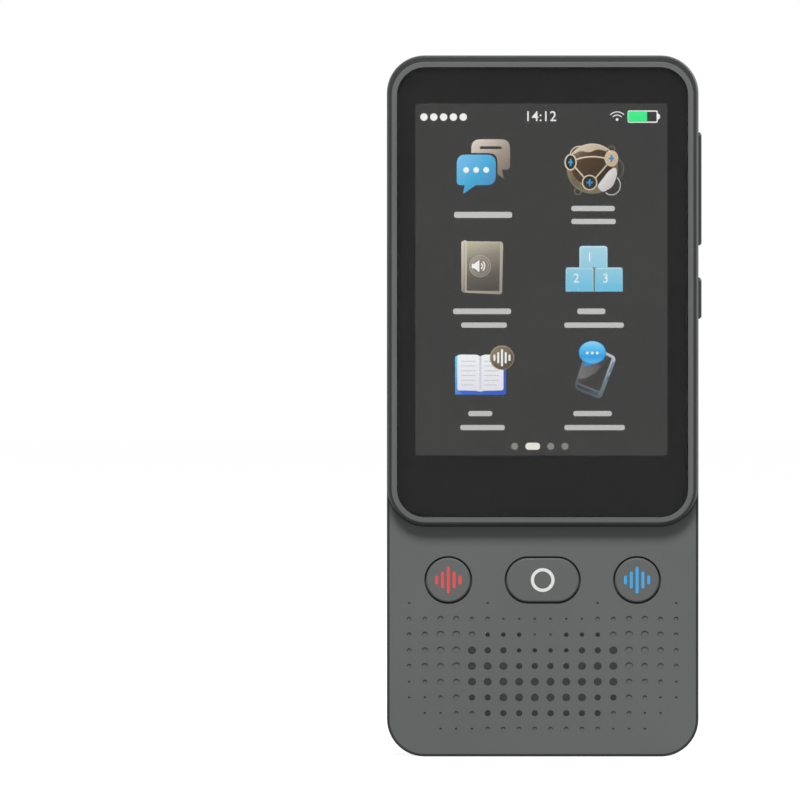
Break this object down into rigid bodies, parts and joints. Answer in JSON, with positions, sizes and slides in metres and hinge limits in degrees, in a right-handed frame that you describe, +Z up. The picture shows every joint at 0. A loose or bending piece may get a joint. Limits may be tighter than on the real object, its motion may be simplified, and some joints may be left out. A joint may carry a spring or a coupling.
{
  "type": "handheld translator",
  "caption": "Bar-shaped handheld translator with a raised touch screen module, a lower panel with red, home and blue keys, and a dotted speaker grille.",
  "frame": {"origin": "middle of the flat bottom end face, halfway through the thickness of the lower section", "axes": "+X to the right as the user sees the screen, +Y from the screen to the rear cover, +Z up along the body from the bottom end to the top end"},
  "size_m": [0.0607, 0.015, 0.135],
  "materials": {
    "housing_plastic": "fine matt moulded plastic",
    "panel_plastic": "smooth satin painted plastic",
    "clear_glass": "polished, clear",
    "black_film": "black printed border",
    "display": "lit display",
    "red_mark": "coloured inlay",
    "blue_mark": "coloured inlay",
    "white_mark": "white inlay",
    "black_plastic": "matt",
    "steel": "stamped and nickel plated",
    "circuit_board": "solder resist",
    "polyimide": "flexible circuit film",
    "foam": "soft, matt",
    "mesh_cloth": "fine acoustic mesh",
    "battery_wrap": "laminated foil",
    "chip": "moulded resin",
    "white_plastic": "matt",
    "lens_glass": "coated"
  },
  "bodies": {
    "device": {"main_housing": "housing_plastic", "rear_cover": "housing_plastic", "screen_bezel": "panel_plastic", "front_panel": "panel_plastic", "cover_glass": "clear_glass", "glass_tape": "black_film", "touch_sensor": "black_film", "lcd_panel": "display", "backlight": "steel", "display_flex": "polyimide", "key_board": "circuit_board", "key_domes": "steel", "key_board_screws": "steel", "key_flex": "polyimide", "speaker_mesh": "mesh_cloth", "speaker_gasket": "foam", "speaker": "black_plastic", "speaker_chamber": "black_plastic", "charge_board": "circuit_board", "charge_board_screws": "steel", "usb_shell": "steel", "usb_tongue": "black_plastic", "usb_gasket": "foam", "lower_microphone": "steel", "board_flex": "polyimide", "side_key_board": "circuit_board", "side_key_bracket": "steel", "side_switches": "steel", "sim_reader": "steel", "main_board": "circuit_board", "main_board_screws": "steel", "main_chips": "chip", "processor_shield": "steel", "radio_shield": "steel", "board_connectors": "white_plastic", "battery": "battery_wrap", "battery_lead": "polyimide", "camera_module": "black_plastic", "camera_gasket": "foam", "camera_window": "lens_glass", "flash_led": "white_plastic", "flash_lens": "clear_glass", "upper_microphone": "steel", "vibration_motor": "steel", "wifi_antenna": "polyimide", "main_antenna": "polyimide"},
    "red_key": {"red_key": "panel_plastic"},
    "home_key": {"home_key": "panel_plastic"},
    "blue_key": {"blue_key": "panel_plastic"},
    "volume_key": {"volume_key": "housing_plastic"},
    "power_key": {"power_key": "housing_plastic"},
    "sim_tray": {"sim_tray": "housing_plastic", "sim_card": "white_plastic"}
  },
  "joints": [
    {"name": "red_key_press", "type": "slide", "parent": "device", "child": "red_key", "axis": [0, 1, 0], "range_m": [0, 0.0004], "stiffness_N_per_m": 3000, "springref_m": -0.0001},
    {"name": "home_key_press", "type": "slide", "parent": "device", "child": "home_key", "axis": [0, 1, 0], "range_m": [0, 0.0004], "stiffness_N_per_m": 3000, "springref_m": -0.0001},
    {"name": "blue_key_press", "type": "slide", "parent": "device", "child": "blue_key", "axis": [0, 1, 0], "range_m": [0, 0.0004], "stiffness_N_per_m": 3000, "springref_m": -0.0001},
    {"name": "volume_rock", "type": "hinge", "parent": "device", "child": "volume_key", "pos_m": [0.02681, -0.001, 0.10955], "axis": [0, 1, 0], "range_deg": [-1.5, 1.5], "stiffness_Nm_per_rad": 0.5},
    {"name": "power_press", "type": "slide", "parent": "device", "child": "power_key", "axis": [-1, 0, 0], "range_m": [0, 0.00035], "stiffness_N_per_m": 4000, "springref_m": -0.0001},
    {"name": "tray_slide", "type": "slide", "parent": "device", "child": "sim_tray", "axis": [-1, 0, 0], "range_m": [0, 0.015]}
  ]
}
